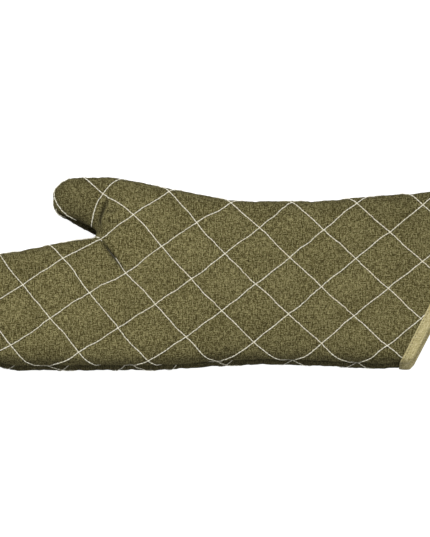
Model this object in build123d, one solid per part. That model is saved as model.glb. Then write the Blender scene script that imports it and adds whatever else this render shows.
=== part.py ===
from build123d import *

import os
from functools import cache
from math import atan2, cos, degrees, hypot, radians, sin

# A long quilted oven mitt, lying flat on its back panel. Each panel is a sandwich of outer shell,
# batting and lining, quilted through in a diamond grid, and the two panels are sewn together round
# the side. A folded tape binds the cut edge of the cuff. Units are millimetres. X runs from the
# fingertips to the cuff, Y from the little-finger side to the thumb side, and Z is up.

# ---- driving dimensions ----
mitt_thickness = 36.0  # across both puffed panels
edge_round = 13.0  # outside radius where a panel turns down to the side seam
shell_thickness = 1.2
batting_thickness = 3.6
lining_thickness = 1.2

tape_thickness = 0.6  # one leg of the folded binding tape
tape_width = 10.5  # leg width, seen from outside
stitch_inset = 1.6  # binding stitches from the tape's own edge
thread_width = 0.9
thread_depth = 0.3
thread_recess = 0.05  # the quilting threads lie this far under the cloth's surface

seam_inset = 2.8  # side seam stitches from the mitt's edge, in the batting
diamond_long = 51.4  # quilting diamond along the mitt
diamond_short = 45.9  # and across it
grain_turn = -1.6  # degrees that the quilting rows fall towards the cuff
grain_bend_radius = 1180.0  # the rows curve upwards over the hand at this radius
front_grid_origin = (47.8, 8.7)  # one quilting crossing on each panel
back_grid_origin = (99.2, -68.0)
grid_reach = 8  # quilting lines made on each side of that crossing
grid_margin = 50.0  # how far a quilting line is drawn past the mitt
smallest_thread = 1.0  # cubic millimetres; shorter ends of thread than this are left out

# The cut edge of the cuff, from the little-finger side to the thumb side.
cuff_low_corner = (141.0, -75.0)
cuff_high_corner = (215.0, 70.0)
beyond_cuff = 60.0  # how far the uncut panels run past that edge

# The seam outline: corner x, corner y and the radius that rounds it, round the mitt from the cuff.
outline_corners = [
    (141.0 + beyond_cuff, -77.0, 20.0),  # past the cuff, cut off later
    (20.0, -70.3, 900.0),  # hollow of the little-finger side
    (-80.0, -76.0, 300.0),
    (-215.4, -76.4, 54.0),  # fingertips, lower quarter
    (-215.4, 6.6, 34.0),  # fingertips, upper quarter
    (-138.0, 22.0, 300.0),
    (-95.5, 28.7, 4.0),  # crotch of the thumb
    (-140.5, 51.0, 15.0),  # thumb tip, lower side
    (-137.5, 76.0, 16.0),  # thumb tip, upper side
    (-95.0, 76.0, 80.0),
    (0.0, 55.4, 150.0),  # wrist
    (70.0, 56.8, 300.0),
    (215.0 + beyond_cuff, 75.6, 20.0),  # past the cuff, cut off later
]

# ---- worked-out dimensions ----
wall_thickness = shell_thickness + batting_thickness + lining_thickness
seam_height = mitt_thickness / 2
cuff_run = cuff_high_corner[0] - cuff_low_corner[0]
cuff_rise = cuff_high_corner[1] - cuff_low_corner[1]
cuff_angle = degrees(atan2(cuff_run, cuff_rise))  # the cut edge leans this far from square
cuff_middle = (
    (cuff_low_corner[0] + cuff_high_corner[0]) / 2,
    (cuff_low_corner[1] + cuff_high_corner[1]) / 2,
)
room = 4 * hypot(cuff_run, cuff_rise)  # larger than the mitt in every direction
grid_right = cuff_high_corner[0] + grid_margin
grid_top = cuff_high_corner[1] + grid_margin


@cache
def mitt_body(depth):
    """The mitt's outer form taken in by depth on every side, uncut at the cuff."""
    outline = FilletPolyline(
        *[(x, y) for x, y, _ in outline_corners],
        radius=[r for _, _, r in outline_corners],
        close=True,
    )
    face = make_face(outline.edges())
    if depth:
        face = offset(face, amount=-depth, kind=Kind.ARC)
    slab = Pos(0, 0, depth) * extrude(face, mitt_thickness - 2 * depth)
    flats = slab.faces().sort_by(Axis.Z)
    return fillet(flats[0].edges() + flats[-1].edges(), edge_round - depth)


def cuff_zone(start, end):
    """The slab between two distances from the cuff's cut edge, counted outwards."""
    slab = Box(end - start, room, room)
    leaning = Rot(0, 0, -cuff_angle) * Pos((start + end) / 2, 0, 0) * slab
    return Pos(cuff_middle[0], cuff_middle[1], 0) * leaning


def side_of_seam(front):
    """The half space above the seam plane for the front panel, below it for the back panel."""
    centre = seam_height + (room / 2 if front else -room / 2)
    return Pos(0, 0, centre) * Box(2 * room, 2 * room, room)


@cache
def skin(outer, inner):
    """The layer of the mitt between two depths below its surface, open at the cuff."""
    return mitt_body(outer) - mitt_body(inner) - cuff_zone(0, room)


def grid_point(origin, along, across):
    """Where a quilting crossing falls: rows run straight over the cuff and curve over the hand."""
    run = along * diamond_long
    height = across * diamond_short
    if run < 0:
        turn = run / grain_bend_radius
        x = (grain_bend_radius - height) * sin(turn)
        y = grain_bend_radius - (grain_bend_radius - height) * cos(turn)
    else:
        x, y = run, height
    tilt = radians(grain_turn)
    return (
        origin[0] + x * cos(tilt) - y * sin(tilt),
        origin[1] + x * sin(tilt) + y * cos(tilt),
    )


def quilting_walls(origin, rising):
    """Thin upright walls, one along each quilting line of a family, to cut a skin into threads."""
    walls = []
    for line in range(-grid_reach, grid_reach + 1):
        points = []
        for step in range(-grid_reach, grid_reach + 1):
            along = (step + line) / 2
            across = (step - line) / 2 if rising else (line - step) / 2
            points.append(grid_point(origin, along, across))
        inside = [p for p in points if abs(p[0]) < grid_right and abs(p[1]) < grid_top]
        if len(inside) > 1:
            path = Polyline(*inside)
            walls.append(extrude(trace(path, line_width=thread_width), mitt_thickness))
    return walls


def threads(layer, walls):
    """The pieces of a thin skin that lie along the quilting lines, one solid for each line."""
    cut = [solid for wall in walls for solid in (layer & wall).solids()]
    return [solid for solid in cut if solid.volume > smallest_thread]


def seam_stitches():
    """The side seam's stitches: a square thread inside the batting, stopping short of the tape."""
    ring = mitt_body(seam_inset) - mitt_body(seam_inset + thread_width)
    band = Pos(0, 0, seam_height) * Box(2 * room, 2 * room, thread_width)
    return ring & band - cuff_zone(-tape_width, room)


# ---- the layers of both panels ----
shell_skin = skin(0, shell_thickness)
batting_skin = skin(shell_thickness, shell_thickness + batting_thickness)
lining_skin = skin(shell_thickness + batting_thickness, wall_thickness)
made = {}  # each node's name and its solids

# ---- binding tape: a channel folded over the cut edge, with a row of stitches on each side ----
outer_leg = skin(0, tape_thickness) & cuff_zone(-tape_width, 0)
inner_leg = skin(wall_thickness - tape_thickness, wall_thickness) & cuff_zone(-tape_width, 0)
fold = (mitt_body(0) - mitt_body(wall_thickness)) & cuff_zone(0, tape_thickness)
tape = outer_leg + inner_leg + fold
stitch_start = -tape_width + stitch_inset
stitch_zone = cuff_zone(stitch_start, stitch_start + thread_width)
outer_stitches = skin(0, thread_depth) & stitch_zone
inner_stitches = skin(wall_thickness - thread_depth, wall_thickness) & stitch_zone
made["binding_stitching"] = outer_stitches.solids() + inner_stitches.solids()
made["cuff_binding"] = (tape - outer_stitches - inner_stitches).solids()

# ---- side seam: it runs through the batting of both panels ----
seam_thread = seam_stitches()
made["side_seam_stitching"] = seam_thread.solids()

# ---- quilting: needle threads let into the shell, bobbin threads let into the lining. The rising
# lines lie one thread deeper than the falling ones, so that they pass under them. ----
past_tape = cuff_zone(-tape_width, room)
thread_tops = {"falling": thread_recess, "rising": thread_recess + thread_depth}
for panel, origin in (("front", front_grid_origin), ("back", back_grid_origin)):
    half = side_of_seam(panel == "front")
    shell = (shell_skin & half) - tape
    lining = (lining_skin & half) - tape
    bobbins = []
    for family, top in thread_tops.items():
        walls = quilting_walls(origin, family == "rising")
        bottom = top + thread_depth
        needle_skin = (skin(top, bottom) - past_tape) & half
        bobbin_skin = (skin(wall_thickness - bottom, wall_thickness - top) - past_tape) & half
        made[f"{panel}_quilting_{family}"] = threads(needle_skin, walls)
        bobbins += threads(bobbin_skin, walls)
        outer_grooves = (skin(0, bottom) - past_tape) & half
        inner_grooves = (skin(wall_thickness - bottom, wall_thickness) - past_tape) & half
        shell -= threads(outer_grooves, walls)
        lining -= threads(inner_grooves, walls)
    made[f"{panel}_bobbin_quilting"] = bobbins
    made[f"{panel}_shell"] = shell.solids()
    made[f"{panel}_lining"] = lining.solids()
    made[f"{panel}_batting"] = ((batting_skin & half) - seam_thread - tape).solids()

# ---- centre the mitt's box on the origin, with its underside at zero, and write the parts ----
box = Compound([solid for solids in made.values() for solid in solids]).bounding_box()
shift = Pos(-box.center().X, -box.center().Y, -box.min.Z)
os.makedirs("parts", exist_ok=True)
for name, solids in made.items():
    moved = [shift * solid for solid in solids]
    export_step(moved[0] if len(moved) == 1 else Compound(moved), f"parts/{name}.step")
    print(name, len(moved), "solids")
print("shift", shift.position, "box", box.size)
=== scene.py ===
from math import acos, atan2, ceil, cos, pi, radians, sin, tan

import bmesh
import bpy
import numpy as np
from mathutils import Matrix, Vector
from mathutils.bvhtree import BVHTree
from mathutils.geometry import delaunay_2d_cdt
from mathutils.kdtree import KDTree


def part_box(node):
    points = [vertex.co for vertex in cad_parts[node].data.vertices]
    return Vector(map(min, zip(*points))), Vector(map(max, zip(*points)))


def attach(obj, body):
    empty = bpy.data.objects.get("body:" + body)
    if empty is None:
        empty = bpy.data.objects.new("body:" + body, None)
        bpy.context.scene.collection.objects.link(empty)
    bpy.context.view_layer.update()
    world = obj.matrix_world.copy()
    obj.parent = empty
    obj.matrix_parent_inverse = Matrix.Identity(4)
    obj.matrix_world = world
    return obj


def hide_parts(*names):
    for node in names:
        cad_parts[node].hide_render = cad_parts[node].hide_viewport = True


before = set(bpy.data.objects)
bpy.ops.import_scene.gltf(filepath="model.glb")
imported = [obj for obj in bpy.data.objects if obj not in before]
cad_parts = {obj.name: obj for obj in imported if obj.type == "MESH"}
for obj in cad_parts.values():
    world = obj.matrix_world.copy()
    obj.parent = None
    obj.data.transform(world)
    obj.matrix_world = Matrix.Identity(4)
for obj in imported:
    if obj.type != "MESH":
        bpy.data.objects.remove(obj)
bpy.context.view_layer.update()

# A long quilted oven mitt, lying on its back panel. Sizes are in millimetres until a mesh is made.
mm = 0.001
rng = np.random.default_rng(7)

mitt = {
    # seam outline: corner x, corner y and the radius that rounds it, from the cuff round the hand
    "corners": [
        (201.0, -78.4, 20.0), (20.0, -70.3, 700.0), (-52.0, -76.0, 300.0), (-215.4, -76.4, 54.0),
        (-215.4, 6.6, 34.0), (-138.0, 22.0, 300.0), (-95.5, 28.7, 4.0), (-140.5, 51.0, 15.0),
        (-137.5, 76.0, 16.0), (-95.0, 77.0, 80.0), (2.0, 57.2, 150.0), (70.0, 56.8, 300.0),
        (275.0, 75.6, 20.0),
    ],
    "cuffLow": (141.0, -75.0),
    "cuffHigh": (215.0, 70.0),
    "outlineStep": 2.4,
    "seamHeight": 18.0,
    "floorGap": 0.8,
}

roll = {  # how a panel turns from its flat down to the side seam
    "run": 5.6,  # plan width of the turn
    "centre": 10.0,  # height of its widest point above the seam
    "tuck": 5.4,  # how the lower part goes back in
    "tuckAngle": 78.0,
    "crown": 17.2,  # height of the panel's face above the seam
    "wall": 6.0,  # shell, batting and lining together
    "innerTuck": 0.45, "innerDrop": 1.5,  # how much less the lining turns in, and how much lower
    "fall": 2.6, "fallReach": 15.0,  # the face slopes down towards the seam
    "thumb": (-128.0, 62.0), "thin": 0.34, "thumbSpread": 27.0,
}

pressed = {"from": 9.0, "over": 9.0, "outer": 1.5, "inner": 1.2}  # where the tape squeezes the panels flat

net = {  # how a panel's points are set out
    "onLine": 34.4,  # points to one cell of a stitched line
    "fillDepths": (1.6, 3.4, 5.6, 8.2, 11.0), "fillApart": 2.1, "fillTogether": 1.6,
    "foldRows": (0.0, 0.9, -0.9, 1.9, -1.9, 3.2, -3.2), "foldNear": 4.0, "foldApart": 0.6,
    "seamApart": 0.9, "edgeApart": 0.8, "cuffClear": 1.5,
    "seamClear": 1.0, "latticeClear": 1.2, "fillClear": 2.0,  # bare margins inside the seam and the cuff
    "halfBox": (240.0, 95.0),  # lattice points outside this can't be on a panel
    "lineWidth": 0.006,  # share of a cell that counts as on a stitched line
    "jump": 12.0,  # a stitched line that leaps this far has crossed to another part of the seam
    "shortest": 8,
}

quilt = {
    "long": 51.4, "short": 45.9,  # one diamond
    "turn": -1.6,  # degrees
    "bend": 1180.0,  # radius of the rows over the hand
    "squeeze": 0.98,  # the rows lie closer there
    "frontOrigin": (47.8, 8.7),
    "backOrigin": (99.2, -88.0),
    "reach": 9,
    "pinch": 1.9,  # depth of a stitched line under the puffed cloth
    "puff": 2.3,  # rise of a diamond above its lines before it is blown up
    "wobble": 0.55,
    "evenLeast": 0.3, "evenTo": 16.0,  # less puffed near the seam, by its depth inside
    "liningPinch": 1.4, "liningLift": 0.2,
    # how a cell is divided, closer near its stitched lines
    "divisions": [0.0, 0.035, 0.1, 0.19, 0.3, 0.43, 0.57, 0.7, 0.81, 0.9, 0.965],
    # where the thumb draws the rows with it: place, move and spread
    "pulls": [
        ((-99.0, 68.0), (-4.5, -6.2), 22.0), ((-124.0, 50.0), (11.0, -17.0), 24.0),
        ((-136.0, 62.0), (0.0, -14.0), 20.0), ((-112.0, 79.0), (-8.0, -1.0), 12.0),
        ((-108.0, 43.0), (-6.0, -2.5), 11.0), ((-95.0, 25.0), (0.0, 3.6), 56.0),
        ((-3.0, 60.0), (0.5, -4.0), 24.0), ((-81.0, -4.0), (0.0, -2.6), 18.0),
        ((-130.0, 8.0), (1.0, 2.4), 24.0), ((-170.0, -64.0), (0.0, -2.8), 30.0),
        ((60.0, -10.0), (-0.9, 0.7), 90.0), ((-112.0, -34.0), (0.0, 2.4), 34.0),
        ((-40.0, 38.0), (0.0, 1.6), 26.0),
    ],
}


def unit(v):
    return v / np.maximum(np.linalg.norm(v, axis=-1, keepdims=True), 1e-12)


def roundedOutline(corners, step):
    points = []
    for i, (x, y, r) in enumerate(corners):
        corner = np.array([x, y])
        toLast = unit(np.array(corners[i - 1][:2]) - corner)
        toNext = unit(np.array(corners[(i + 1) % len(corners)][:2]) - corner)
        half = acos(float(toLast @ toNext)) / 2
        centre = corner + unit(toLast + toNext) * r / sin(half)
        start = corner + toLast * r / tan(half) - centre
        end = corner + toNext * r / tan(half) - centre
        first = atan2(start[1], start[0])
        sweep = (atan2(end[1], end[0]) - first + pi) % (2 * pi) - pi
        turns = max(2, ceil(abs(sweep) * r / step))
        for k in range(turns + 1):
            angle = first + sweep * k / turns
            points.append(centre + r * np.array([cos(angle), sin(angle)]))
    return spaced(np.array(points + points[:1]), step)[:-1]


def lengths(line):
    # how far along a line each of its points is
    return np.concatenate([[0], np.cumsum(np.linalg.norm(np.diff(line, axis=0), axis=1))])


def spaced(line, step):
    along = lengths(line)
    at = np.linspace(0, along[-1], max(2, ceil(along[-1] / step) + 1))
    return np.stack([np.interp(at, along, line[:, k]) for k in range(line.shape[1])], axis=1)


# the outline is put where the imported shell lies
outline = roundedOutline(mitt["corners"], mitt["outlineStep"])
shellLow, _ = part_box("front_shell")
shift = np.array([shellLow.x / mm - outline[:, 0].min(), 0.0])
cut = outline[:, 0] < mitt["cuffLow"][0]
shift[1] = shellLow.y / mm - outline[cut, 1].min()
outline = outline + shift
cuffLow = np.array(mitt["cuffLow"]) + shift
cuffHigh = np.array(mitt["cuffHigh"]) + shift
cuffAlong = unit(cuffHigh - cuffLow)
cuffOut = np.array([cuffAlong[1], -cuffAlong[0]])
outlineNext = np.roll(outline, -1, axis=0)
edgeNormal = unit(outlineNext - outline)[:, ::-1] * (1, -1)
cornerNormal = unit(edgeNormal + np.roll(edgeNormal, 1, axis=0))
print("outline", len(outline), "points, shifted", shift)


def cuffDepth(p):
    return -(p - cuffLow) @ cuffOut


def nearestSeam(points):
    # each point's foot on the outline, the direction inwards there, and its depth inside
    foot, inward, depth = [], [], []
    run = outlineNext - outline
    for part in np.array_split(points, max(1, len(points) // 3000)):
        t = ((part[:, None] - outline) * run).sum(-1) / (run ** 2).sum(-1)
        t = np.clip(t, 0, 1)
        near = outline + t[..., None] * run
        gap = np.linalg.norm(part[:, None] - near, axis=-1)
        best = gap.argmin(1)
        row = np.arange(len(part))
        q = near[row, best]
        share = t[row, best][:, None]
        g = unit(cornerNormal[best] * (1 - share) + np.roll(cornerNormal, -1, 0)[best] * share)
        inside = ((part - q) * g).sum(-1)
        signed = np.where(inside >= 0, 1, -1) * gap[row, best]
        straight = (part - q) / np.where(np.abs(signed) < 1e-9, 1, signed)[:, None]
        foot.append(q)
        inward.append(np.where(np.abs(signed)[:, None] > 0.6, straight, g))
        depth.append(signed)
    return np.concatenate(foot), np.concatenate(inward), np.concatenate(depth)


# the turn's angle against the length of cloth round it, from the flat to the seam
tuckAngle = radians(roll["tuckAngle"])
turnAngles = np.radians(np.linspace(90, -roll["tuckAngle"], 240))
turnDepth = np.where(turnAngles > 0, roll["run"], roll["tuck"]) * (1 - np.cos(turnAngles))
turnRise = np.where(turnAngles > 0, roll["crown"] - roll["centre"], roll["centre"] / sin(tuckAngle))
turnHeight = turnRise * np.sin(turnAngles)
turnLength = np.concatenate([[0], np.cumsum(np.hypot(np.diff(turnDepth), np.diff(turnHeight)))])
edgeLength = float(np.interp(0, -turnAngles, turnLength))
print("cloth round the turn", turnLength[-1], "to its widest point", edgeLength)


def gridPoint(origin, a, b):
    # lines of constant a fall to the right and lines of constant b rise
    run = (a + b) / 2 * quilt["long"]
    height = (a - b) / 2 * quilt["short"]
    bend = quilt["bend"]
    turn = quilt["squeeze"] * np.minimum(run, 0) / bend
    x = np.where(run < 0, (bend - height) * np.sin(turn), run)
    y = np.where(run < 0, bend - (bend - height) * np.cos(turn), height)
    tilt = radians(quilt["turn"])
    x, y = origin[0] + x * cos(tilt) - y * sin(tilt), origin[1] + x * sin(tilt) + y * cos(tilt)
    pullX, pullY = 0, 0
    for place, move, spread in quilt["pulls"]:
        near = np.exp(-((x - place[0]) ** 2 + (y - place[1]) ** 2) / spread ** 2)
        pullX, pullY = pullX + move[0] * near, pullY + move[1] * near
    x, y = x + pullX, y + pullY
    w = quilt["wobble"]
    wave = w * (np.sin(x / 9.1 + y / 13.7 + origin[0]) + np.sin(x / 5.3 - y / 7.9))
    swing = w * (np.sin(y / 8.3 - x / 15.1) + np.sin(x / 6.1 + y / 4.7 + origin[1]))
    return np.stack([x + wave * 0.6, y + swing * 0.6], axis=-1) + shift


def latticeAt(origin, p):
    # the lattice place of plan points, found by Newton's steps
    local = p - shift - np.array(origin)
    run, height = local[:, 0] / quilt["long"], local[:, 1] / quilt["short"]
    ab = np.stack([run + height, run - height], axis=-1)
    tiny = 1e-4
    for _ in range(14):
        here = gridPoint(origin, ab[:, 0], ab[:, 1])
        da = (gridPoint(origin, ab[:, 0] + tiny, ab[:, 1]) - here) / tiny
        db = (gridPoint(origin, ab[:, 0], ab[:, 1] + tiny) - here) / tiny
        miss = p - here
        det = da[:, 0] * db[:, 1] - da[:, 1] * db[:, 0]
        stepA = (miss[:, 0] * db[:, 1] - miss[:, 1] * db[:, 0]) / det
        stepB = (da[:, 0] * miss[:, 1] - da[:, 1] * miss[:, 0]) / det
        ab = ab + np.clip(np.stack([stepA, stepB], axis=-1), -0.5, 0.5)
    return ab


def wrap(cloth):
    # where flat cloth comes to lie: its foot, direction inwards, turn angle and plan depth
    foot, inward, depth = nearestSeam(cloth)
    used = roll["run"] - depth
    angle = np.interp(used, turnLength, turnAngles)
    planDepth = np.where(used > 0, np.interp(used, turnLength, turnDepth), depth)
    return foot, inward, angle, planDepth, used


def unwrap(foot, inward, angle, planDepth):
    # the flat cloth's place for a point of the panel
    used = np.interp(-angle, -turnAngles, turnLength)
    flat = np.where(angle >= pi / 2 - 1e-9, planDepth, roll["run"] - used)
    return foot + inward * flat[:, None]


def crownHeight(plan):
    # a slow rise and fall over the mitt
    x, y = plan[:, 0], plan[:, 1]
    slow = 0.5 * np.sin(x / 41.0 + 1.3) * np.cos(y / 33.0) + 0.4 * np.sin(x / 23.0 - y / 29.0)
    return roll["crown"] + slow


def thinned(plan):
    # the thumb holds less than the hand
    far = ((plan - shift - np.array(roll["thumb"])) ** 2).sum(1)
    return 1 - roll["thin"] * np.exp(-far / roll["thumbSpread"] ** 2)


def surface(foot, inward, angle, planDepth, inner):
    # a point of the smooth panel above the seam's plane, and the direction out of it
    wall = roll["wall"]
    share = thinned(foot + inward * np.minimum(planDepth, roll["run"])[:, None])
    c, s = np.cos(angle), np.sin(angle)
    up = angle > 0
    flat = angle >= pi / 2 - 1e-9
    start = wall if inner else 0.0
    tuck = roll["tuck"] * (roll["innerTuck"] if inner else 1)
    depth = start + np.where(up, roll["run"] - start, tuck) * (1 - c)
    depth = np.where(flat, planDepth, depth)
    plan = foot + inward * depth[:, None]
    top = crownHeight(foot + inward * planDepth[:, None]) - start
    top = top - roll["fall"] * np.exp(-np.maximum(planDepth, 0) / roll["fallReach"])
    middle = roll["centre"] - (roll["innerDrop"] if inner else 0)
    low = middle / sin(tuckAngle)
    rise = np.where(up, (top - middle) * s, low * s)
    across = np.where(up, roll["run"] - start, roll["tuck"])
    high = np.where(up, np.maximum(top - middle, 1), low)
    out = np.concatenate([-inward * (c / across)[:, None], (s / high)[:, None]], axis=1)
    return np.concatenate([plan, ((middle + rise) * share)[:, None]], axis=1), unit(out)


def quiltLines(origin):
    # every stitched line as cloth points, cut where it leaves the panel
    lines = []
    reach = quilt["reach"]
    along = np.arange(-reach, reach, 1.0 / net["onLine"])
    for family in (0, 1):
        for n in range(-reach, reach + 1):
            a, b = (n + 0 * along, along) if family == 0 else (along, n + 0 * along)
            cloth = gridPoint(origin, a, b)
            foot, inward, _, depth, used = wrap(cloth)
            good = (used < turnLength[-1]) & (cuffDepth(foot + inward * depth[:, None]) > 0)
            breaks = np.flatnonzero(np.diff(good.astype(int))) + 1
            for part in np.split(np.arange(len(cloth)), breaks):
                if len(part) <= net["shortest"] or not good[part[0]]:
                    continue
                leaps = np.linalg.norm(np.diff(foot[part], axis=0), axis=1)
                jumps = np.flatnonzero(leaps > net["jump"]) + 1
                jumps = [j for j in jumps if used[part[j]] > roll["run"]]
                for run in np.split(part, jumps):
                    if len(run) > net["shortest"]:
                        lines.append({"family": family, "cloth": cloth[run]})
    return lines


def crossings(lines):
    # where the stitched lines pass the widest point of the turn
    onSeam = []
    for line in lines:
        foot, _, _, _, used = wrap(line["cloth"])
        past = used - edgeLength
        for i in np.flatnonzero(past[:-1] * past[1:] < 0):
            t = past[i] / (past[i] - past[i + 1])
            onSeam.append(foot[i] * (1 - t) + foot[i + 1] * t)
    return np.array(onSeam)


def seamLine(lines):
    # the outline from the low corner of the cuff round to the high one, with the crossings in it
    deep = cuffDepth(outline)
    inside = deep > 0
    first = int(np.flatnonzero(inside & ~np.roll(inside, 1))[0])
    ring = np.roll(outline, -first, axis=0)
    count = int(inside.sum())
    ends = []
    for i, j in ((-1, 0), (count - 1, count)):
        d, e = cuffDepth(ring[i]), cuffDepth(ring[j % len(ring)])
        ends.append(ring[i] + (ring[j % len(ring)] - ring[i]) * d / (d - e))
    seam = np.concatenate([ends[:1], ring[:count], ends[1:]])
    gaps = np.linalg.norm(np.diff(seam, axis=0), axis=1)
    if gaps[0] < net["edgeApart"]:
        seam = np.delete(seam, 1, axis=0)
    if gaps[-1] < net["edgeApart"]:
        seam = np.delete(seam, -2, axis=0)
    for q in crossings(lines):
        if cuffDepth(q) < net["cuffClear"]:
            continue
        gap = np.linalg.norm(seam - q, axis=1)
        i = int(gap.argmin())
        if gap[i] < net["seamApart"] and 0 < i < len(seam) - 1:
            seam[i] = q
        else:
            along = unit(seam[min(i + 1, len(seam) - 1)] - seam[max(i - 1, 0)])
            seam = np.insert(seam, i + 1 if (q - seam[i]) @ along > 0 else i, q, axis=0)
    return seam


def panelMesh(origin, lines):
    # plan points of one panel on the quilting lattice, joined up, with the turn's lower part hung on
    seam = seamLine(lines)
    cuffCount = int(np.linalg.norm(seam[0] - seam[-1]) / mitt["outlineStep"])
    t = np.linspace(0, 1, cuffCount + 1)[1:-1, None]
    cuff = seam[-1] * (1 - t) + seam[0] * t
    loop = np.concatenate([seam, cuff])
    cells = range(-quilt["reach"], quilt["reach"])
    steps = np.concatenate([np.array(quilt["divisions"]) + n for n in cells])
    a, b = (v.ravel() for v in np.meshgrid(steps, steps))
    cloth = gridPoint(origin, a, b)
    near = (np.abs(cloth) < net["halfBox"]).all(1)
    foot, inward, angle, depth, _ = wrap(cloth[near])
    plan = foot + inward * depth[:, None]
    keep = (angle > 0) & (depth > net["seamClear"]) & (cuffDepth(plan) > net["latticeClear"])
    points = list(plan[keep])
    # rings fill what the lattice leaves bare beside a tight corner
    rings = np.concatenate([outline + cornerNormal * depth for depth in net["fillDepths"]])
    wanted = np.repeat(net["fillDepths"], len(outline))
    truly = np.abs(nearestSeam(rings)[2] - wanted) < 0.3
    rings = rings[truly & (cuffDepth(rings) > net["fillClear"])]
    tree = KDTree(len(points))
    for i, p in enumerate(points):
        tree.insert((*p, 0), i)
    tree.balance()
    added = []
    if origin == quilt["frontOrigin"]:
        for fold in folds:
            path, along = foldPath(fold)
            for offset in net["foldRows"]:
                rings = np.concatenate([path[::2] + along[::2, ::-1] * (-1, 1) * offset, rings])
    for p in rings:
        beside = nearestFold(p) < net["foldNear"]
        apart = net["foldApart"] if beside else net["fillApart"]
        together = net["foldApart"] if beside else net["fillTogether"]
        if tree.find((*p, 0))[2] > apart and all(abs(p - q).max() > together for q in added):
            added.append(p)
    print("filled beside corners", len(added))
    flat = [Vector(p) for p in (*loop, *points, *added)]
    edges = [(i, (i + 1) % len(loop)) for i in range(len(loop))]
    verts, _, faces, *_ = delaunay_2d_cdt(flat, edges, [], 1, 1e-4, False)
    middles = np.array([[sum(verts[i][k] for i in f) / len(f) for k in (0, 1)] for f in faces])
    faces = [f for f, ok in zip(faces, (nearestSeam(middles)[2] > 0) & (cuffDepth(middles) > 0)) if ok]
    mesh = bmesh.new()
    made = [mesh.verts.new((v[0], v[1], 0)) for v in verts]
    for face in faces:
        mesh.faces.new([made[i] for i in face])
    loose = [v for v in mesh.verts if not v.link_faces]
    bmesh.ops.delete(mesh, geom=loose, context="VERTS")
    bmesh.ops.recalc_face_normals(mesh, faces=mesh.faces)
    if mesh.faces[:][0].normal.z < 0:
        bmesh.ops.reverse_faces(mesh, faces=mesh.faces)
    bmesh.ops.join_triangles(mesh, faces=mesh.faces, angle_face_threshold=3.1, angle_shape_threshold=0.8)
    mesh.verts.index_update()
    plan = np.array([v.co[:2] for v in mesh.verts])
    faces = [[v.index for v in f.verts] for f in mesh.faces]
    mesh.free()
    # which points are the seam's, in order
    order = [int(np.linalg.norm(plan - q, axis=1).argmin()) for q in seam]
    foot, inward, depth = nearestSeam(plan)
    angle = np.arccos(np.clip(1 - depth / roll["run"], 0, 1))
    foot[order], depth[order], angle[order] = seam, 0, 0
    rows = [order]
    for share in (1 / 3, 2 / 3, 1):
        start = len(foot)
        foot = np.concatenate([foot, seam])
        inward = np.concatenate([inward, inward[order]])
        angle = np.concatenate([angle, np.full(len(seam), -tuckAngle * share)])
        depth = np.concatenate([depth, np.zeros(len(seam))])
        rows.append(list(range(start, start + len(seam))))
        for i in range(len(seam) - 1):
            faces.append([rows[-1][i], rows[-2][i], rows[-2][i + 1], rows[-1][i + 1]])
    return {"foot": foot, "inward": inward, "angle": angle, "depth": depth, "faces": faces,
            "rows": rows, "seam": seam}


foldShape = {"step": 0.8, "valley": 1.5, "fade": 2.5}
folds = [
    # where the thumb bends the front panel: path, depth of the fold, rise and overhang of the cloth
    # beside it and their reach, and how dark and wide its shade is
    {"beside": (-91.0, 11.0), "shownFrom": -89.0,
     "deep": 2.4, "rise": 1.6, "over": 2.4, "reach": 3.4, "dark": 1.0, "soft": 1.5},
    {"path": [(-94.5, 56.5), (-99.2, 46.0), (-101.2, 38.0), (-100.8, 29.5)],
     "deep": 2.7, "rise": 1.6, "over": 1.3, "reach": 3.2, "dark": 0.85, "soft": 2.2},
    {"path": [(-98.5, 44.5), (-91.5, 45.5), (-86.0, 49.0)],
     "deep": 1.2, "rise": 0.5, "over": 0.0, "reach": 2.4, "dark": 0.45, "soft": 1.5},
    {"path": [(-98.0, 37.5), (-91.0, 37.0), (-85.5, 39.5)],
     "deep": 1.1, "rise": 0.5, "over": 0.0, "reach": 2.2, "dark": 0.4, "soft": 1.5},
]


def foldPath(fold):
    if "line" in fold:
        return fold["line"]
    if "beside" in fold:  # along the stitched line that falls past this place
        origin = quilt["frontOrigin"]
        a, b = latticeAt(origin, np.array([fold["beside"]]) + shift)[0]
        line = gridPoint(origin, np.round(a), np.floor(b) + np.linspace(0.02, 0.98, 20))
        path = spaced(line, foldShape["step"])
        path = path if path[0, 0] < path[-1, 0] else path[::-1]
    else:
        path = spaced(np.array(fold["path"]), foldShape["step"]) + shift
    fold["line"] = path, unit(np.gradient(path, axis=0))
    return fold["line"]


def fromFold(fold, plan):
    # distance to the left of a fold's path, and a share that fades at its ends
    path, along = foldPath(fold)
    gap = np.linalg.norm(plan[:, None] - path, axis=-1)
    best = gap.argmin(1)
    side = along[best][:, ::-1] * (-1, 1)
    away = ((plan - path[best]) * side).sum(1)
    missed = np.abs(((plan - path[best]) * along[best]).sum(1))
    ends = np.sin(pi * np.clip((best + 1) / (len(path) + 1), 0, 1)) ** 0.5
    return away, ends * np.exp(-(missed / foldShape["fade"]) ** 2), side


def nearestFold(p):
    return min(float(np.linalg.norm(foldPath(fold)[0] - p, axis=1).min()) for fold in folds)


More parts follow.
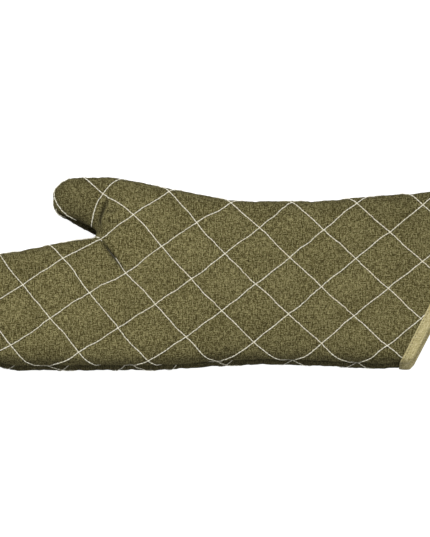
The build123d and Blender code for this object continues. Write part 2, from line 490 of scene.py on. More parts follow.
def folded(panel, top):
    plan = top[:, :2].copy()
    moved = np.zeros_like(top)
    for fold in folds:
        away, share, side = fromFold(fold, plan)
        beside = np.exp(-((away - fold["reach"]) / (0.8 * fold["reach"])) ** 2) * share
        inFold = np.exp(-(away / foldShape["valley"]) ** 2) * share
        moved[:, :2] -= side * (fold["over"] * beside)[:, None]
        moved[:, 2] += fold["rise"] * beside - fold["deep"] * inFold
        dark = fold["dark"] * np.exp(-(away / fold["soft"]) ** 2) * share
        panel["shade"] = np.maximum(panel["shade"], dark)
    flat = np.clip(panel["angle"] / (pi / 2), 0, 1)[:, None]
    return top + moved * flat


def pastTape(panel):
    # from 0 under the tape to 1 where the cloth is free
    return np.clip((panel["cuff"] - pressed["from"]) / pressed["over"], 0, 1)


def blown(panel, origin):
    # lattice place of every point, how near it is to a stitched line, and how far it is puffed
    cloth = unwrap(panel["foot"], panel["inward"], panel["angle"], panel["depth"])
    ab = latticeAt(origin, cloth)
    part = ab - np.floor(ab)
    panel["cloth"] = cloth
    panel["onLine"] = (np.abs(ab - np.round(ab)) < net["lineWidth"]).any(1)
    hump = np.sin(pi * part[:, 0]) * np.sin(pi * part[:, 1])
    plan = panel["foot"] + panel["inward"] * panel["depth"][:, None]
    panel["cuff"] = cuffDepth(plan)
    calm = pastTape(panel)
    calm = calm * calm * (3 - 2 * calm)
    tuck = np.clip(1 + panel["angle"] / tuckAngle, 0, 1) ** 0.6
    # the cloth is pulled straight near the seam
    least = quilt["evenLeast"]
    panel["even"] = least + (1 - least) * np.clip(panel["depth"] / quilt["evenTo"], 0, 1)
    panel["hump"] = np.clip(hump, 0, 1) ** 0.6 * calm * tuck * panel["even"]
    pinch = quilt["pinch"] * (0.35 + 0.65 * tuck) * calm * panel["even"]
    panel["low"] = -pinch - pressed["outer"] * (1 - calm)


def makeMesh(name, points, faces):
    mesh = bpy.data.meshes.new(name)
    mesh.from_pydata([tuple(p) for p in points * mm], [], faces)
    mesh.update()
    thing = bpy.data.objects.new(name, mesh)
    bpy.context.scene.collection.objects.link(thing)
    return thing


def pickOnly(thing):
    bpy.ops.object.select_all(action="DESELECT")
    thing.select_set(True)
    bpy.context.view_layer.objects.active = thing


cloth = {
    "frames": 24, "pressure": 3.0, "slack": -0.035, "quality": 6, "mass": 0.2, "stretch": 30.0, "shear": 8.0,
    "bending": 0.6, "damping": 4.0, "heldTo": 11.0,
    "most": 2.6, "least": -2.4,  # how far from the smooth panel it may go
}


def blowUp(panel, points, faces, name):
    # pressure fills the cells between their stitched lines
    thing = makeMesh(name, points, faces)
    held = panel["onLine"] | (panel["cuff"] < cloth["heldTo"])
    held[panel["rows"][-1]] = True
    group = thing.vertex_groups.new(name="stitched")
    group.add([int(i) for i in np.flatnonzero(held)], 1.0, "REPLACE")
    pickOnly(thing)
    modifier = thing.modifiers.new("puff", "CLOTH")
    setting = modifier.settings
    setting.quality = cloth["quality"]
    setting.mass = cloth["mass"]
    setting.tension_stiffness = setting.compression_stiffness = cloth["stretch"]
    setting.shear_stiffness = cloth["shear"]
    setting.bending_stiffness = cloth["bending"]
    setting.air_damping = cloth["damping"]
    setting.vertex_group_mass = "stitched"
    setting.use_pressure = True
    setting.uniform_pressure_force = cloth["pressure"]
    setting.shrink_min = cloth["slack"]
    setting.effector_weights.gravity = 0
    modifier.collision_settings.use_collision = False
    modifier.point_cache.frame_end = cloth["frames"] + 1
    for step in range(1, cloth["frames"] + 1):
        bpy.context.scene.frame_set(step)
    bpy.ops.object.modifier_apply(modifier="puff")
    result = np.array([v.co for v in thing.data.vertices]) / mm
    bpy.data.objects.remove(thing)
    bpy.context.scene.frame_set(1)
    return result


shadows = {
    "tuck": 0.86, "tuckPower": 1.3,  # towards the side seam
    "edge": 0.42, "edgeReach": 10.0,
    "under": 0.5, "underFrom": 60.0,  # the back panel's side
    "thumb": 0.4, "line": 0.2,
    # painted shade in broad darker patches where the light falls off: place, share and reach
    "paintedShading": [((-124.0, 52.0), 0.24, 30.0), ((165.0, 52.0), 0.16, 62.0), ((40.0, -82.0), 0.1, 90.0)],
}


def shaded(panel, side):
    # how much shade each point lies in, in the seam's tuck and beside the stitched lines
    angle = panel["angle"]
    shade = np.clip(-angle / tuckAngle * 1.2, 0, 1) ** shadows["tuckPower"] * shadows["tuck"]
    if side < 0:
        under = np.clip(1 - angle / radians(shadows["underFrom"]), 0, 1)
        shade = np.maximum(shade, shadows["under"] * under)
    shade *= 1 - shadows["thumb"] * (1 - thinned(panel["cloth"])) / roll["thin"]
    edge = np.exp(-panel["depth"] / shadows["edgeReach"]) * (angle > 0)
    shade = np.maximum(shade, shadows["edge"] * edge)
    # painted shade: each patch makes the points near it darker
    for spot, share, reach in shadows["paintedShading"]:
        far = ((panel["cloth"] - shift - np.array(spot)) ** 2).sum(1)
        shade = 1 - (1 - shade) * (1 - share * np.exp(-far / reach ** 2))
    return np.maximum(shade, shadows["line"] * panel["onLine"])


def laid(side, place):
    # from above the seam's plane into the mitt's frame, the back panel turned over
    return place * np.array([1, 1, side]) + np.array([0, 0, mitt["seamHeight"]])


def shapePanel(origin, side, name):
    lines = quiltLines(origin)
    panel = panelMesh(origin, lines)
    blown(panel, origin)
    place = (panel["foot"], panel["inward"], panel["angle"], panel["depth"])
    base, out = surface(*place, False)
    lining, _ = surface(*place, True)
    start = base + out * (panel["low"] + quilt["puff"] * panel["hump"])[:, None]
    panel["shade"] = shaded(panel, side)
    flip = np.array([1, 1, side])
    faces = panel["faces"] if side > 0 else [f[::-1] for f in panel["faces"]]
    top = blowUp(panel, start * flip, faces, name) * flip
    moved = ((top - base) * out).sum(1)
    kept = np.clip(moved, cloth["least"], cloth["most"])
    kept = panel["low"] + (kept - panel["low"]) * (0.5 + 0.5 * panel["even"])
    top = top + out * (kept - moved)[:, None]
    if side > 0:
        top = folded(panel, top)
    calm = pastTape(panel)
    into = quilt["liningPinch"] * (1 - panel["hump"] / max(panel["hump"].max(), 1e-6)) + quilt["liningLift"]
    low = lining + out * (into * calm + pressed["inner"] * (1 - calm))[:, None]
    panel.update(lines=lines, faces=faces, side=side)
    panel["top"], panel["bottom"] = laid(side, top), laid(side, low)
    if side < 0:  # flattened where it lies on the floor
        height, low = panel["top"][:, 2], mitt["floorGap"]
        panel["top"][:, 2] = np.where(height < low, low * np.exp(np.minimum(height - low, 0) / low), height)
    print(name, len(top), "points", len(faces), "faces, top", panel["top"].min(0), panel["top"].max(0))
    return panel


def setValues(mesh, name, domain, values):
    mesh.attributes.new(name, "FLOAT", domain).data.foreach_set("value", values.astype(np.float32))


def layer(panel, name, start, end):
    # one closed layer of the panel between two depths: from the face if positive, else from the lining
    through = panel["bottom"] - panel["top"]
    thick = np.linalg.norm(through, axis=1, keepdims=True)
    through = through / thick
    depths = [v if v >= 0 else thick + v + 1e-6 for v in (start, end)]
    upper, lower = (panel["top"] + through * d for d in depths)
    count = len(upper)
    faces = list(panel["faces"])
    used = dict.fromkeys(edge for face in faces for edge in zip(face, face[1:] + face[:1]))
    rim = [(i, j) for i, j in used if (j, i) not in used]
    closed = faces + [[i + count for i in f[::-1]] for f in faces]
    closed += [[j, i, i + count, j + count] for i, j in rim]
    thing = makeMesh(name, np.concatenate([upper, lower]), closed)
    mesh = thing.data
    uv = mesh.uv_layers.new(name="cut")
    flat = np.concatenate([panel["cloth"]] * 2) * mm
    corner = np.zeros(len(mesh.loops), int)
    mesh.loops.foreach_get("vertex_index", corner)
    uv.data.foreach_set("uv", flat[corner].astype(np.float32).ravel())
    setValues(mesh, "puffed", "POINT", np.concatenate([panel["hump"]] * 2))
    setValues(mesh, "shade", "POINT", np.concatenate([panel["shade"]] * 2))
    ends = np.zeros(len(mesh.edges) * 2, int)
    mesh.edges.foreach_get("vertices", ends)
    ends = ends.reshape(-1, 2)
    on = np.concatenate([panel["onLine"]] * 2)
    sharp = on[ends].all(1) * sandwich["lineCrease"]
    rimPoints = np.zeros(2 * count, bool)
    rimPoints[[i for edge in rim for i in edge]] = True
    rimPoints[count:] = rimPoints[:count]
    sharp = np.where(rimPoints[ends].all(1), sandwich["rimCrease"], sharp)
    setValues(mesh, "crease_edge", "EDGE", sharp)
    pickOnly(thing)
    smooth = thing.modifiers.new("smooth", "SUBSURF")
    smooth.levels = smooth.render_levels = 1
    bpy.ops.object.modifier_apply(modifier="smooth")
    bpy.ops.object.shade_smooth()
    return thing


sandwich = {"shell": 0.9, "lining": 0.9, "gap": 0.05, "lineCrease": 0.55, "rimCrease": 0.9}

panels = {}
pieces = {}
for side, word in ((1, "front"), (-1, "back")):
    panel = shapePanel(quilt[word + "Origin"], side, word + "Puff")
    panels[word] = panel
    cover, inside, gap = sandwich["shell"], sandwich["lining"], sandwich["gap"]
    pieces[word + "Shell"] = layer(panel, word + "Shell", 0.0, cover)
    pieces[word + "Batting"] = layer(panel, word + "Batting", cover + gap, -(inside + gap))
    pieces[word + "Lining"] = layer(panel, word + "Lining", -inside, -1e-9)
    for part in ("Shell", "Batting", "Lining"):
        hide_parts(f"{word}_{part.lower()}")
print("panels made")

stitch = {
    "length": 3.4, "gap": -0.4, "thick": 0.9, "lift": 0.36, "dip": 0.14, "shake": 0.12,
    "underTape": 3.5, "insideFrom": 0.25,
    "crotch": 13.0, "crotchAngle": 0.3,  # no thread this near the crotch, below this angle
    "bridge": 6.0, "sunk": 2.2, "sunkWithin": 3.0,
}


def stitchShape(name, length, thick, dip):
    # one stitch: a plump thread whose ends dive into the cloth
    bpy.ops.object.select_all(action="DESELECT")
    bpy.ops.mesh.primitive_uv_sphere_add(segments=6, ring_count=6, radius=0.5, rotation=(0, pi / 2, 0))
    one = bpy.context.object
    one.name = name
    bpy.ops.object.transform_apply(rotation=True)
    one.scale = (length, thick, thick * 0.8)
    bpy.ops.object.transform_apply(scale=True)
    bpy.ops.object.mode_set(mode="EDIT")
    edit = bmesh.from_edit_mesh(one.data)
    for v in edit.verts:
        v.select = abs(v.co.x) > 0.47 * length
    edit.select_flush(True)
    bpy.ops.transform.translate(value=(0, 0, -dip))
    bpy.ops.object.mode_set(mode="OBJECT")
    points = np.array([v.co for v in one.data.vertices])
    faces = [list(p.vertices) for p in one.data.polygons]
    bpy.data.objects.remove(one)
    return points, faces


quiltStitch = stitchShape("stitch", stitch["length"], stitch["thick"], stitch["dip"])


def sewn(name, runs, points, faces):
    # copies of one stitch along runs of places, each with its direction and the way out of the cloth
    allPoints, allFaces = [], []
    for middle, along, out in runs:
        along = unit(along - out * (along * out).sum(-1, keepdims=True))
        across = np.cross(out, along)
        turned = points[:, 0, None] * along + points[:, 1, None] * across + points[:, 2, None] * out
        allFaces += [[i + len(allPoints) * len(points) for i in f] for f in faces]
        allPoints.append(middle + turned)
    thing = makeMesh(name, np.concatenate(allPoints), allFaces)
    setValues(thing.data, "each", "POINT", np.repeat(rng.random(len(allPoints)), len(points)))
    pickOnly(thing)
    bpy.ops.object.shade_smooth()
    return thing


def meshTree(thing):
    mesh = thing.data
    points = [v.co / mm for v in mesh.vertices]
    return BVHTree.FromPolygons(points, [list(p.vertices) for p in mesh.polygons])


def landed(tree, base, out, reach):
    # points and normals of the finished cloth under a run of places
    hits, ways = [], []
    for p, n in zip(base, out):
        spot, normal, _, _ = tree.ray_cast(Vector(p + n * reach), Vector(-n), 2 * reach)
        if spot is not None:
            hits.append(np.array(spot))
            ways.append(np.array(normal if normal.dot(Vector(n)) > 0 else -normal))
    return np.array(hits), np.array(ways)


def panelPlaces(panel, flatCloth, inner):
    foot, inward, angle, depth, _ = wrap(flatCloth)
    place, out = surface(foot, inward, angle, depth, inner)
    plan = foot + inward * depth[:, None]
    return laid(panel["side"], place), out * (1, 1, panel["side"]), cuffDepth(plan), angle


def placeAt(both, along, m, half):
    # place, direction and normal at a length along a run
    here, before, after = (
        np.array([np.interp(v, along, both[:, k]) for k in range(6)]) for v in (m, m - half, m + half))
    return here[:3], after[:3] - before[:3], unit(here[3:])


def stitched(panel, family, inner, stretch):
    # single stitches along one stretch of landed places
    runs = []
    both = spaced(stretch, 0.5)
    along = lengths(both[:, :3])
    pitch = stitch["length"] + stitch["gap"]
    shake = stitch["shake"]
    for m in np.arange(pitch / 2, along[-1] - pitch / 2, pitch):
        place, way, normal = placeAt(both, along, m + rng.uniform(-shake, shake), 1.2)
        sideways = np.cross(normal, unit(way)) * rng.uniform(-shake, shake)
        lift = stitch["lift"]
        if panel["side"] > 0 and not inner and family == 0:  # the crotch's fold swallows its thread
            away, share, _ = fromFold(folds[0], place[None, :2])
            hidden = abs(float(away[0])) < stitch["sunkWithin"] and place[0] < folds[0]["shownFrom"]
            lift -= stitch["sunk"] * float(share[0]) * hidden
        runs.append((place + normal * lift + sideways, way, normal))
    return runs


def sewLines(panel, tree, family, inner):
    runs = []
    crotch = np.array(mitt["corners"][6][:2]) + shift
    for line in panel["lines"]:
        if line["family"] != family:
            continue
        place, out, cuff, angle = panelPlaces(panel, line["cloth"], inner)
        # the inside thread stops before the seam allowance, and both stop under the tape
        keep = cuff > tape["width"] - stitch["underTape"]
        if inner:
            keep &= angle > stitch["insideFrom"]
        fromCrotch = np.linalg.norm(line["cloth"] - crotch, axis=1)
        keep &= (angle > stitch["crotchAngle"]) | (fromCrotch > stitch["crotch"])
        for part in np.split(np.arange(len(place)), np.flatnonzero(np.diff(keep.astype(int))) + 1):
            if len(part) < 5 or not keep[part[0]]:
                continue
            way = -1 if inner else 1
            spots, ways = landed(tree, place[part][::2], out[part][::2] * way, 6.0)
            if len(spots) < 4:
                continue
            # the thread doesn't bridge from one side of the crotch to the other
            leaps = np.linalg.norm(np.diff(spots, axis=0), axis=1)
            far = np.flatnonzero(leaps > stitch["bridge"]) + 1
            for stretch in np.split(np.concatenate([spots, ways], axis=1), far):
                if len(stretch) >= 4:
                    runs += stitched(panel, family, inner, stretch)
    return runs


tape = {
    "cut": 0.0175, "length": 0.33, "width": 7.6, "thick": 0.55, "over": 0.3, "overLeast": 0.4,
    "rows": 7, "foldRows": 5, "bite": 0.12, "bulge": 0.35, "outerLift": 0.25,
    "stitchIn": 1.7, "stitchLength": 2.0, "stitchGap": 0.9, "stitchThick": 0.62, "stitchDip": 0.1,
}


def cuffStation(across, deep):
    # a place on the smooth panel at a depth from the cut edge: across runs from -1, the low seam, to 2
    d = cuffDepth(outline) - deep
    ends = []
    for i in np.flatnonzero(d * np.roll(d, -1) < 0):
        share = d[i] / (d[i] - np.roll(d, -1)[i])
        ends.append(outline[i] * (1 - share) + outlineNext[i] * share)
    ends = sorted(ends, key=lambda q: q @ cuffAlong)
    low, high = ends[0], ends[-1]
    plan = low + (high - low) * np.clip(across, 0, 1)[:, None]
    foot, inward, depth = nearestSeam(plan)
    angle = np.arccos(np.clip(1 - depth / roll["run"], 0, 1))
    tucked = np.where(across < 0, across, np.where(across > 1, 1 - across, 0))
    angle = np.where(tucked < 0, tucked * tuckAngle, angle)
    depth = np.where(tucked < 0, 0, depth)
    return foot, inward, angle, depth


def tapeMesh():
    # rows of the folded tape from its outer edge over the cut edge to its inner edge
    middle = 0.5 - 0.5 * np.cos(pi * np.linspace(0, 1, 80))
    across = np.concatenate([np.linspace(-1, 0, 6)[:-1], middle, np.linspace(1, 2, 6)[1:]])
    rings = []
    rows = tape["rows"]
    deep = np.linspace(tape["width"], 0.0, rows)
    for inner in (False, True):
        for d in (deep if not inner else deep[::-1]):
            ring = []
            bulge = tape["bulge"] * sin(pi * min(1, (tape["width"] - d) / tape["width"]))
            if inner:
                raised = pressed["inner"] - tape["bite"] - bulge
            else:
                raised = tape["bite"] - pressed["outer"] + bulge + tape["outerLift"]
            for word in ("front", "back"):
                place, out = surface(*cuffStation(across, d), inner)
                place = laid(panels[word]["side"], place + out * raised)
                ring.append(place if word == "front" else place[::-1])
            rings.append(np.concatenate([ring[0], ring[1][1:-1]]))
    # the fold between the last outer row and the first inner row
    first, last = rings[rows - 1], rings[rows]
    fold = []
    for k in range(1, tape["foldRows"] + 1):
        share = k / (tape["foldRows"] + 1)
        mixed = first * (1 - share) + last * share
        push = tape["over"] * sin(pi * share) + tape["overLeast"]
        fold.append(mixed + np.array([*cuffOut, 0]) * push)
    rings = rings[:rows] + fold + rings[rows:]
    count = len(rings[0])
    faces = []
    for r in range(len(rings) - 1):
        for i in range(count):
            j = (i + 1) % count
            faces.append([r * count + i, r * count + j, (r + 1) * count + j, (r + 1) * count + i])
    thing = makeMesh("cuffBinding", np.concatenate(rings), faces)
    uv = thing.data.uv_layers.new(name="cut")
    around = lengths(rings[0])
    print("tape round the cuff", around[-1])
    across = lengths(np.array([ring[30] for ring in rings]))
    for polygon in thing.data.polygons:
        for loop in polygon.loop_indices:
            v = thing.data.loops[loop].vertex_index
            u = around[v % count]
            if v % count == 0 and max(w % count for w in polygon.vertices) == count - 1:
                u = around[-1] + 1.0
            uv.data[loop].uv = (u * mm, across[v // count] * mm)
    pickOnly(thing)
    bpy.ops.object.mode_set(mode="EDIT")
    bpy.ops.mesh.select_all(action="SELECT")
    bpy.ops.mesh.normals_make_consistent(inside=False)
    bpy.ops.object.mode_set(mode="OBJECT")
    thick = thing.modifiers.new("thick", "SOLIDIFY")
    thick.thickness = tape["thick"] * mm
    thick.offset = 0
    smooth = thing.modifiers.new("smooth", "SUBSURF")
    smooth.levels = smooth.render_levels = 1
    bpy.ops.object.modifier_apply(modifier="thick")
    bpy.ops.object.modifier_apply(modifier="smooth")
    bpy.ops.object.shade_smooth()
    return thing


for word in ("front", "back"):
    panel = panels[word]
    cover, inside = meshTree(pieces[word + "Shell"]), meshTree(pieces[word + "Lining"])
    for family, slope in ((0, "Falling"), (1, "Rising")):
        runs = sewLines(panel, cover, family, False)
        made = sewn(f"{word}Quilting{slope}", runs, *quiltStitch)
        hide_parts(f"{word}_quilting_{slope.lower()}")
        pieces[made.name] = made
        print(made.name, len(runs), "stitches")
    runs = sewLines(panel, inside, 0, True) + sewLines(panel, inside, 1, True)
    made = sewn(f"{word}BobbinQuilting", runs, *quiltStitch)
    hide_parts(f"{word}_bobbin_quilting")
    pieces[made.name] = made
print("quilting sewn")

pieces["cuffBinding"] = tapeMesh()
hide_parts("cuff_binding")
print("tape folded")


def spread(places, ways, pitch):
    # stitch places at one pitch along a run
    both = spaced(np.concatenate([places, ways], axis=1), 0.5)
    along = lengths(both[:, :3])
    return [placeAt(both, along, m, 1) for m in np.arange(pitch, along[-1] - pitch, pitch)]


tapeTree = meshTree(pieces["cuffBinding"])
tapeRuns = []
across = np.concatenate([np.linspace(-0.85, 0, 8)[:-1], np.linspace(0, 1, 120), np.linspace(1, 1.85, 8)[1:]])
for word in ("front", "back"):
    side = panels[word]["side"]
    place, out = surface(*cuffStation(across, tape["width"] - tape["stitchIn"]), False)
    spots, ways = landed(tapeTree, laid(side, place), out * (1, 1, side), 5.0)
    tapeRuns += spread(spots + ways * 0.12, ways, tape["stitchLength"] + tape["stitchGap"])
tapeStitch = stitchShape("tapeStitch", tape["stitchLength"], tape["stitchThick"], tape["stitchDip"])
pieces["bindingStitching"] = sewn("bindingStitching", tapeRuns, *tapeStitch)
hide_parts("binding_stitching")

seam = {"length": 2.8, "thick": 0.8, "dip": 0.1, "gap": 0.5, "behind": 1.6}
line = panels["front"]["seam"]
line = line[cuffDepth(line) > tape["width"]]
foot, inward, depth = nearestSeam(line)
place, _ = surface(foot, inward, np.full(len(line), -tuckAngle), depth, False)
heights = np.full((len(line), 1), mitt["seamHeight"])
place = np.concatenate([place[:, :2] + inward * seam["behind"], heights], axis=1)
ways = np.concatenate([-inward, np.zeros((len(line), 1))], axis=1)
seamStitch = stitchShape("seamStitch", seam["length"], seam["thick"], seam["dip"])
seamRuns = spread(place, ways, seam["length"] + seam["gap"])
pieces["sideSeamStitching"] = sewn("sideSeamStitching", seamRuns, *seamStitch)
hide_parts("side_seam_stitching")
print("binding and seam sewn", len(tapeRuns), "tape stitches")


def newGroup(name, inputs, outputs):
    # inputs are given by name with their values, the cloth's own coordinates first; outputs are values
    group = bpy.data.node_groups.new(name, "ShaderNodeTree")
    group.interface.new_socket("Cloth", in_out="INPUT", socket_type="NodeSocketVector")
    for label, value in inputs.items():
        group.interface.new_socket(label, in_out="INPUT", socket_type="NodeSocketFloat").default_value = value
    for label in outputs:
        group.interface.new_socket(label, in_out="OUTPUT", socket_type="NodeSocketFloat")
    return group, group.nodes.new("NodeGroupInput"), group.nodes.new("NodeGroupOutput")


def addNode(tree, kind, links=(), **settings):
    # a node with its inputs' values and links by name
    node = tree.nodes.new(kind)
    for label, value in settings.items():
        node.inputs[label].default_value = value
    for label, value in dict(links).items():
        tree.links.new(value, node.inputs[label])
    return node


def mathNode(tree, operation, *values, clamp=False):
    node = tree.nodes.new("ShaderNodeMath")
    node.operation = operation
    node.use_clamp = clamp
    for i, value in enumerate(values):
        if isinstance(value, (int, float)):
            node.inputs[i].default_value = value
        else:
            tree.links.new(value, node.inputs[i])
    return node.outputs[0]


def noiseNode(tree, vector, scale, detail):
    return addNode(tree, "ShaderNodeTexNoise", {"Vector": vector}, Scale=scale, Detail=detail)


def fleckRange(tree, noise, low, high):
    settings = {"From Min": low, "From Max": high}
    return addNode(tree, "ShaderNodeMapRange", {"Value": noise.outputs["Fac"]}, **settings).outputs[0]


def weaveGroup():
    # over and under of a plain weave, from flat cloth coordinates in metres
    group, given, result = newGroup(
        "plainWeave", {"Threads per metre": 1700.0, "Unevenness": 0.35}, ("Height", "Gap"))
    link = group.links.new
    blur = noiseNode(group, given.outputs["Cloth"], 260, 2)
    wander = group.nodes.new("ShaderNodeVectorMath")
    wander.operation = "SCALE"
    link(blur.outputs["Color"], wander.inputs[0])
    link(mathNode(group, "MULTIPLY", given.outputs["Unevenness"], 0.0012), wander.inputs["Scale"])
    moved = group.nodes.new("ShaderNodeVectorMath")
    link(given.outputs["Cloth"], moved.inputs[0])
    link(wander.outputs[0], moved.inputs[1])
    parts = group.nodes.new("ShaderNodeSeparateXYZ")
    link(moved.outputs[0], parts.inputs[0])
    turns = mathNode(group, "MULTIPLY", given.outputs["Threads per metre"], pi)
    waves = [mathNode(group, "SINE", mathNode(group, "MULTIPLY", parts.outputs[way], turns)) for way in "XY"]
    ridges = [mathNode(group, "ABSOLUTE", wave) for wave in waves]
    over = mathNode(group, "MULTIPLY", *waves)
    share = mathNode(group, "ADD", mathNode(group, "MULTIPLY", over, 1.6), 0.5, clamp=True)
    low = mathNode(group, "MULTIPLY", ridges[0], mathNode(group, "SUBTRACT", 1.0, share))
    high = mathNode(group, "MULTIPLY", ridges[1], share)
    link(mathNode(group, "ADD", low, high), result.inputs["Height"])
    link(mathNode(group, "SUBTRACT", 1.0, mathNode(group, "MAXIMUM", *ridges)), result.inputs["Gap"])
    return group


def heatherGroup():
    # slubs and streaks along both directions of the weave, each from 0 to 1
    group, given, result = newGroup(
        "heather", {"Fine": 1050.0, "Long": 240.0}, ("Warp", "Weft", "Speckle", "Cloud"))
    parts = addNode(group, "ShaderNodeSeparateXYZ", {"Vector": given.outputs["Cloth"]})
    for label, x, y, offset in (("Warp", "Fine", "Long", 0.0), ("Weft", "Long", "Fine", 31.0)):
        scaled = {way: mathNode(group, "MULTIPLY", parts.outputs[way], given.outputs[scale])
                  for way, scale in (("X", x), ("Y", y))}
        joined = addNode(group, "ShaderNodeCombineXYZ", scaled, Z=offset)
        streak = noiseNode(group, joined.outputs[0], 1.0, 2.0)
        group.links.new(fleckRange(group, streak, 0.36, 0.64), result.inputs[label])
    for label, scale, detail in (("Speckle", 1050.0, 1.0), ("Cloud", 34.0, 1.5)):
        cloud = noiseNode(group, given.outputs["Cloth"], scale, detail)
        group.links.new(fleckRange(group, cloud, 0.3, 0.7), result.inputs[label])
    return group


plainWeave, heather = weaveGroup(), heatherGroup()


def mixColour(tree, share, first, second):
    node = tree.nodes.new("ShaderNodeMix")
    node.data_type = "RGBA"
    for socket, value in ((node.inputs[0], share), (node.inputs[6], first), (node.inputs[7], second)):
        if isinstance(value, tuple):
            socket.default_value = (*value, 1)
        else:
            tree.links.new(value, socket)
    return node.outputs[2]


def newMaterial(name, settings):
    made = bpy.data.materials.new(name)
    made.use_nodes = True
    shader = made.node_tree.nodes["Principled BSDF"]
    for label, value in settings.items():
        shader.inputs[label].default_value = value
    return made, made.node_tree, shader


def pointValue(tree, name):
    node = tree.nodes.new("ShaderNodeAttribute")
    node.attribute_name = name
    return node.outputs["Fac"]


def bumped(tree, shader, height, strength, distance):
    bump = addNode(tree, "ShaderNodeBump", {"Height": height}, Strength=strength, Distance=distance)
    tree.links.new(bump.outputs[0], shader.inputs["Normal"])


def cottonMaterial(name, look):
    made, tree, shader = newMaterial(name, {
        "Roughness": look["rough"], "Specular IOR Level": 0.25, "Sheen Weight": look["sheen"],
        "Sheen Roughness": 0.5, "Sheen Tint": (*look["light"], 1)})
    flat = tree.nodes.new("ShaderNodeUVMap")
    flat.uv_map = "cut"
    weave, fleck = (tree.nodes.new("ShaderNodeGroup") for _ in range(2))
    weave.node_tree, fleck.node_tree = plainWeave, heather
    weave.inputs["Threads per metre"].default_value = look["threads"]
    for group in (weave, fleck):
        tree.links.new(flat.outputs[0], group.inputs["Cloth"])
    # painted light: the puffed crowns of the cells are made lighter in colour
    total = mathNode(tree, "MULTIPLY", pointValue(tree, "puffed"), look["paintedShading"])
    for label in ("Warp", "Weft", "Speckle", "Cloud"):
        part = mathNode(tree, "MULTIPLY", fleck.outputs[label], look[label.lower()])
        total = mathNode(tree, "ADD", total, part, clamp=label == "Cloud")
    lower = mixColour(tree, mathNode(tree, "MULTIPLY", total, 2.0, clamp=True), look["dark"], look["mid"])
    upper = mathNode(tree, "SUBTRACT", mathNode(tree, "MULTIPLY", total, 2.0), 1.0, clamp=True)
    colour = mixColour(tree, upper, lower, look["light"])
    gap = mathNode(tree, "MULTIPLY", weave.outputs["Gap"], look["gap"])
    colour = mixColour(tree, gap, colour, look["dark"])
    # painted shade: the shade attribute darkens the colour towards a deep olive
    hidden = mathNode(tree, "MULTIPLY", pointValue(tree, "shade"), 0.88)
    colour = mixColour(tree, hidden, colour, tuple(v * 0.35 for v in look["dark"]))
    tree.links.new(colour, shader.inputs["Base Color"])
    slubs = mathNode(tree, "MULTIPLY", fleck.outputs["Speckle"], 0.8)
    bumped(tree, shader, mathNode(tree, "ADD", weave.outputs["Height"], slubs), look["bump"], 0.00025)
    return made


def threadMaterial(name, look):
    made, tree, shader = newMaterial(name, {"Roughness": 0.62, "Sheen Weight": 0.15})
    place = tree.nodes.new("ShaderNodeTexCoord")
    fuzz = noiseNode(tree, place.outputs["Object"], 2600, 2).outputs["Fac"]
    each = mathNode(tree, "MULTIPLY", pointValue(tree, "each"), 0.5)
    share = mathNode(tree, "ADD", each, mathNode(tree, "MULTIPLY", fuzz, 0.5))
    tree.links.new(mixColour(tree, share, look["dark"], look["light"]), shader.inputs["Base Color"])
    bumped(tree, shader, fuzz, 0.3, 0.0001)
    return made


def linear(r, g, b):
    # a screen colour as light
    return tuple(((v / 255 + 0.055) / 1.055) ** 2.4 if v > 10 else v / 255 / 12.92 for v in (r, g, b))


olive = cottonMaterial("oliveCotton", {
    "dark": linear(26, 21, 4), "mid": linear(82, 74, 37), "light": linear(164, 156, 108),
    "rough": 0.94, "sheen": 0.06, "threads": 1300.0,
    "warp": 0.34, "weft": 0.26, "speckle": 0.56, "cloud": 0.08, "paintedShading": 0.04, "gap": 0.3, "bump": 0.8})
natural = cottonMaterial("naturalCotton", {
    "dark": linear(178, 168, 138), "mid": linear(206, 198, 172), "light": linear(228, 222, 200),
    "rough": 0.95, "sheen": 0.15, "threads": 1500.0,
    "warp": 0.25, "weft": 0.25, "speckle": 0.3, "cloud": 0.1, "paintedShading": 0.1, "gap": 0.3, "bump": 0.5})
felt = cottonMaterial("cottonFelt", {
    "dark": linear(196, 190, 172), "mid": linear(222, 217, 202), "light": linear(240, 236, 226),
    "rough": 1.0, "sheen": 0.3, "threads": 600.0,
    "warp": 0.1, "weft": 0.1, "speckle": 0.5, "cloud": 0.3, "paintedShading": 0.0, "gap": 0.05, "bump": 0.6})
khaki = cottonMaterial("khakiTape", {
    "dark": linear(128, 114, 62), "mid": linear(190, 178, 128), "light": linear(232, 224, 184),
    "rough": 0.85, "sheen": 0.1, "threads": 1900.0,
    "warp": 0.25, "weft": 0.3, "speckle": 0.35, "cloud": 0.1, "paintedShading": 0.0, "gap": 0.25, "bump": 0.4})
ecru = threadMaterial("ecruThread", {"dark": linear(222, 215, 186), "light": linear(250, 247, 230)})
khakiThread = threadMaterial("khakiThread", {"dark": linear(112, 100, 58), "light": linear(150, 137, 88)})
oliveThread = threadMaterial("oliveThread", {"dark": linear(58, 52, 30), "light": linear(86, 78, 48)})

looks = {
    "Shell": (olive, "shell_cloth"), "Batting": (felt, "batting"), "Lining": (natural, "lining_cloth"),
    "Quilting": (ecru, "quilting_thread"), "cuffBinding": (khaki, "binding_tape"),
    "bindingStitching": (khakiThread, "binding_thread"), "sideSeamStitching": (oliveThread, "seam_thread"),
}
for thing in pieces.values():
    for word, (material, slot) in looks.items():
        if word in thing.name:
            thing.data.materials.clear()
            thing.data.materials.append(material)
            break
    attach(thing, "root")
print("materials set")

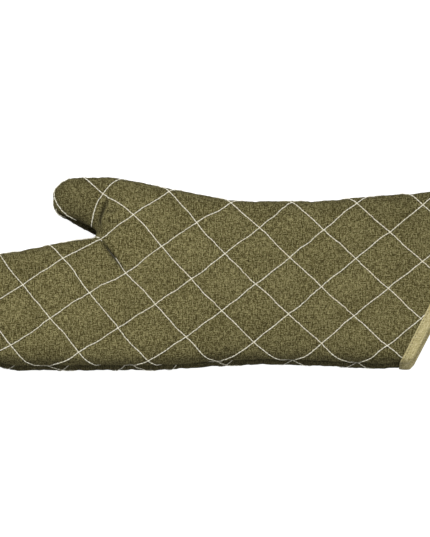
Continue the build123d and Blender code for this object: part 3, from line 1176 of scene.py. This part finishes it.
# camera over the mitt's front, with a long lens
camera = {
    "elevation": 75.0, "distance": 4.0, "frameHeight": 0.421, "aim": (-0.0116, 0.0044, 0.018), "sensor": 36,
    "clipEnd": 20}
lens = bpy.data.cameras.new("camera")
lens.sensor_width = camera["sensor"]
lens.lens = camera["sensor"] * camera["distance"] / camera["frameHeight"]
lens.clip_end = camera["clipEnd"]
eye = bpy.data.objects.new("camera", lens)
tilt = radians(camera["elevation"])
away = Vector((0, -cos(tilt), sin(tilt)))
eye.location = Vector(camera["aim"]) + away * camera["distance"]
eye.rotation_euler = (-away).to_track_quat("-Z", "Y").to_euler()
bpy.context.scene.collection.objects.link(eye)
bpy.context.scene.camera = eye

floor = {"size": 12.0, "top": -0.0003, "glow": 0.98, "grey": 0.3}
bpy.ops.object.select_all(action="DESELECT")
bpy.ops.mesh.primitive_plane_add(size=floor["size"], location=(0, 0, floor["top"]))
ground = bpy.context.object
ground.name = "floor"
paper, paperTree, paperShader = newMaterial("paleFloor", {
    "Base Color": (*[floor["grey"]] * 3, 1), "Roughness": 1.0, "Specular IOR Level": 0.0,
    "Emission Color": (1, 1, 1, 1)})
seen = paperTree.nodes.new("ShaderNodeLightPath")
glow = mathNode(paperTree, "MULTIPLY", seen.outputs["Is Camera Ray"], floor["glow"])
paperTree.links.new(glow, paperShader.inputs["Emission Strength"])
ground.data.materials.append(paper)


def areaLight(name, place, size, power):
    light = bpy.data.lights.new(name, "AREA")
    light.size = size
    light.energy = power
    lamp = bpy.data.objects.new(name, light)
    lamp.location = place
    lamp.rotation_euler = (-Vector(place)).to_track_quat("-Z", "Y").to_euler()
    bpy.context.scene.collection.objects.link(lamp)


areaLight("keyLight", (-0.95, 0.95, 1.7), 0.5, 36)
areaLight("fillLight", (0.7, -0.5, 2.2), 1.2, 7.5)
areaLight("sideLight", (1.4, -0.5, 0.5), 0.6, 6)
skyLight = 0.24
world = bpy.data.worlds.new("studio")
bpy.context.scene.world = world
world.use_nodes = True
sky = world.node_tree
sky.nodes["Background"].inputs["Color"].default_value = (1, 1, 1, 1)
path = sky.nodes.new("ShaderNodeLightPath")
strength = mathNode(sky, "MAXIMUM", path.outputs["Is Camera Ray"], skyLight)
sky.links.new(strength, sky.nodes["Background"].inputs["Strength"])
bpy.context.scene.view_settings.view_transform = "Standard"
